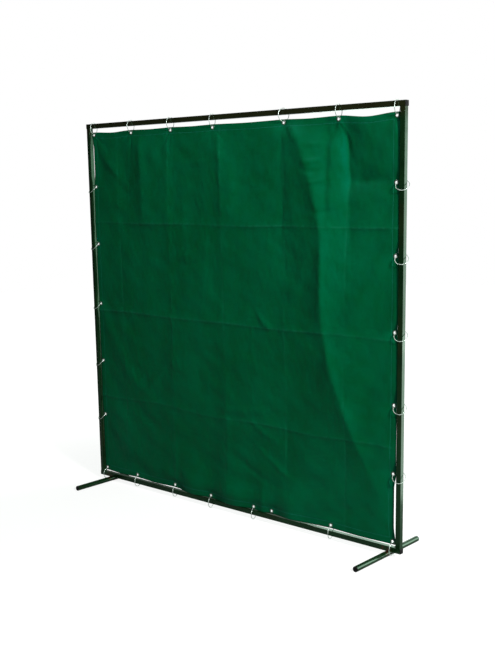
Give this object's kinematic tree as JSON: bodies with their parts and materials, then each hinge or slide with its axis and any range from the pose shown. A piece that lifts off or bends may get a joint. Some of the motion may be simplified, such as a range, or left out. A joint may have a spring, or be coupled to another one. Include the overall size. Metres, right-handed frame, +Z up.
{
  "type": "welding curtain screen",
  "caption": "Free-standing welding screen: a square-tube frame on two round-tube feet with a curtain held by wire rings on all four edges.",
  "frame": {"origin": "on the floor, midway between the feet and in the plane of the screen", "axes": "+X along the screen to the right seen from the front, -Y the front, +Z up"},
  "size_m": [2.0942, 0.507, 2.0355],
  "materials": {
    "painted_steel": "gloss",
    "curtain_cloth": "matte",
    "black_plastic": "satin",
    "eyelet_metal": "satin",
    "ring_wire": "satin",
    "zinc_steel": "satin"
  },
  "bodies": {
    "frame": {"top_rail": "painted_steel", "bottom_rail": "painted_steel", "left_post": "painted_steel", "right_post": "painted_steel", "spigot_top_left": "zinc_steel", "spigot_top_right": "zinc_steel", "spigot_bottom_left": "zinc_steel", "spigot_bottom_right": "zinc_steel", "rail_plug_top_left": "black_plastic", "rail_plug_top_right": "black_plastic", "rail_plug_bottom_left": "black_plastic", "rail_plug_bottom_right": "black_plastic", "post_screws": "zinc_steel", "foot_bolts": "zinc_steel", "foot_nuts": "zinc_steel", "foot_washers": "zinc_steel", "curtain": "curtain_cloth", "eyelets_top": "eyelet_metal", "eyelets_bottom": "eyelet_metal", "eyelets_left": "eyelet_metal", "eyelets_right": "eyelet_metal", "eyelet_washers": "eyelet_metal"},
    "foot_left": {"foot_left": "painted_steel", "foot_plug_left_front": "black_plastic", "foot_plug_left_back": "black_plastic"},
    "foot_right": {"foot_right": "painted_steel", "foot_plug_right_front": "black_plastic", "foot_plug_right_back": "black_plastic"},
    "ring_top_1": {"ring_top_1": "ring_wire"},
    "ring_top_2": {"ring_top_2": "ring_wire"},
    "ring_top_3": {"ring_top_3": "ring_wire"},
    "ring_top_4": {"ring_top_4": "ring_wire"},
    "ring_top_5": {"ring_top_5": "ring_wire"},
    "ring_top_6": {"ring_top_6": "ring_wire"},
    "ring_top_7": {"ring_top_7": "ring_wire"},
    "ring_bottom_1": {"ring_bottom_1": "ring_wire"},
    "ring_bottom_2": {"ring_bottom_2": "ring_wire"},
    "ring_bottom_3": {"ring_bottom_3": "ring_wire"},
    "ring_bottom_4": {"ring_bottom_4": "ring_wire"},
    "ring_bottom_5": {"ring_bottom_5": "ring_wire"},
    "ring_bottom_6": {"ring_bottom_6": "ring_wire"},
    "ring_bottom_7": {"ring_bottom_7": "ring_wire"},
    "ring_left_1": {"ring_left_1": "ring_wire"},
    "ring_left_2": {"ring_left_2": "ring_wire"},
    "ring_left_3": {"ring_left_3": "ring_wire"},
    "ring_left_4": {"ring_left_4": "ring_wire"},
    "ring_left_5": {"ring_left_5": "ring_wire"},
    "ring_right_1": {"ring_right_1": "ring_wire"},
    "ring_right_2": {"ring_right_2": "ring_wire"},
    "ring_right_3": {"ring_right_3": "ring_wire"},
    "ring_right_4": {"ring_right_4": "ring_wire"},
    "ring_right_5": {"ring_right_5": "ring_wire"}
  },
  "joints": [
    {"name": "foot_left_swivel", "type": "hinge", "parent": "frame", "child": "foot_left", "pos_m": [-0.958, 0, 0.01345], "axis": [0, 0, 1], "range_deg": [-20, 20]},
    {"name": "foot_right_swivel", "type": "hinge", "parent": "frame", "child": "foot_right", "pos_m": [0.958, 0, 0.01345], "axis": [0, 0, 1], "range_deg": [-20, 20]},
    {"name": "ring_top_1_turn", "type": "hinge", "parent": "frame", "child": "ring_top_1", "pos_m": [-0.986, 0, 2.004], "axis": [0.9781, 0.2079, 0], "continuous": true},
    {"name": "ring_top_2_turn", "type": "hinge", "parent": "frame", "child": "ring_top_2", "pos_m": [-0.685, 0, 2.004], "axis": [0.9848, 0.1736, 0], "continuous": true},
    {"name": "ring_top_3_turn", "type": "hinge", "parent": "frame", "child": "ring_top_3", "pos_m": [-0.385, 0, 2.004], "axis": [0.9945, 0.1045, 0], "continuous": true},
    {"name": "ring_top_4_turn", "type": "hinge", "parent": "frame", "child": "ring_top_4", "pos_m": [-0.09, 0, 2.004], "axis": [0.9781, 0.2079, 0], "continuous": true},
    {"name": "ring_top_5_turn", "type": "hinge", "parent": "frame", "child": "ring_top_5", "pos_m": [0.365, 0, 2.004], "axis": [0.9613, -0.2756, 0], "continuous": true},
    {"name": "ring_top_6_turn", "type": "hinge", "parent": "frame", "child": "ring_top_6", "pos_m": [0.68, 0, 2.004], "axis": [0.9945, 0.1045, 0], "continuous": true},
    {"name": "ring_top_7_turn", "type": "hinge", "parent": "frame", "child": "ring_top_7", "pos_m": [0.986, 0, 2.004], "axis": [0.9877, 0.1564, 0], "continuous": true},
    {"name": "ring_bottom_1_turn", "type": "hinge", "parent": "frame", "child": "ring_bottom_1", "pos_m": [-0.986, 0, 0.0426], "axis": [0.9986, -0.0523, 0], "continuous": true},
    {"name": "ring_bottom_2_turn", "type": "hinge", "parent": "frame", "child": "ring_bottom_2", "pos_m": [-0.728, 0, 0.0426], "axis": [0.9781, 0.2079, 0], "continuous": true},
    {"name": "ring_bottom_3_turn", "type": "hinge", "parent": "frame", "child": "ring_bottom_3", "pos_m": [-0.425, 0, 0.0426], "axis": [0.9613, 0.2756, 0], "continuous": true},
    {"name": "ring_bottom_4_turn", "type": "hinge", "parent": "frame", "child": "ring_bottom_4", "pos_m": [-0.155, 0, 0.0346], "axis": [0.9659, 0.2588, 0], "continuous": true},
    {"name": "ring_bottom_5_turn", "type": "hinge", "parent": "frame", "child": "ring_bottom_5", "pos_m": [0.145, 0, 0.0346], "axis": [0.9613, 0.2756, 0], "continuous": true},
    {"name": "ring_bottom_6_turn", "type": "hinge", "parent": "frame", "child": "ring_bottom_6", "pos_m": [0.635, 0, 0.0426], "axis": [0.9848, 0.1736, 0], "continuous": true},
    {"name": "ring_bottom_7_turn", "type": "hinge", "parent": "frame", "child": "ring_bottom_7", "pos_m": [0.986, 0, 0.0426], "axis": [0.9986, 0.0523, 0], "continuous": true},
    {"name": "ring_left_1_turn", "type": "hinge", "parent": "frame", "child": "ring_left_1", "pos_m": [-1.01682, 0, 1.67746], "axis": [-0.2784, -0.6691, 0.689], "continuous": true},
    {"name": "ring_left_2_turn", "type": "hinge", "parent": "frame", "child": "ring_left_2", "pos_m": [-1.01682, 0, 1.36246], "axis": [-0.2784, -0.6691, 0.689], "continuous": true},
    {"name": "ring_left_3_turn", "type": "hinge", "parent": "frame", "child": "ring_left_3", "pos_m": [-1.01682, 0, 1.02746], "axis": [-0.2784, -0.6691, 0.689], "continuous": true},
    {"name": "ring_left_4_turn", "type": "hinge", "parent": "frame", "child": "ring_left_4", "pos_m": [-1.01682, 0, 0.70046], "axis": [-0.2784, -0.6691, 0.689], "continuous": true},
    {"name": "ring_left_5_turn", "type": "hinge", "parent": "frame", "child": "ring_left_5", "pos_m": [-1.01682, 0, 0.38446], "axis": [-0.2784, -0.6691, 0.689], "continuous": true},
    {"name": "ring_right_1_turn", "type": "hinge", "parent": "frame", "child": "ring_right_1", "pos_m": [1.01682, 0, 1.67746], "axis": [0.2784, -0.6691, 0.689], "continuous": true},
    {"name": "ring_right_2_turn", "type": "hinge", "parent": "frame", "child": "ring_right_2", "pos_m": [1.01682, 0, 1.36246], "axis": [0.2784, -0.6691, 0.689], "continuous": true},
    {"name": "ring_right_3_turn", "type": "hinge", "parent": "frame", "child": "ring_right_3", "pos_m": [1.01682, 0, 1.02746], "axis": [0.2784, -0.6691, 0.689], "continuous": true},
    {"name": "ring_right_4_turn", "type": "hinge", "parent": "frame", "child": "ring_right_4", "pos_m": [1.01682, 0, 0.70046], "axis": [0.2784, -0.6691, 0.689], "continuous": true},
    {"name": "ring_right_5_turn", "type": "hinge", "parent": "frame", "child": "ring_right_5", "pos_m": [1.01682, 0, 0.38446], "axis": [0.2784, -0.6691, 0.689], "continuous": true}
  ]
}
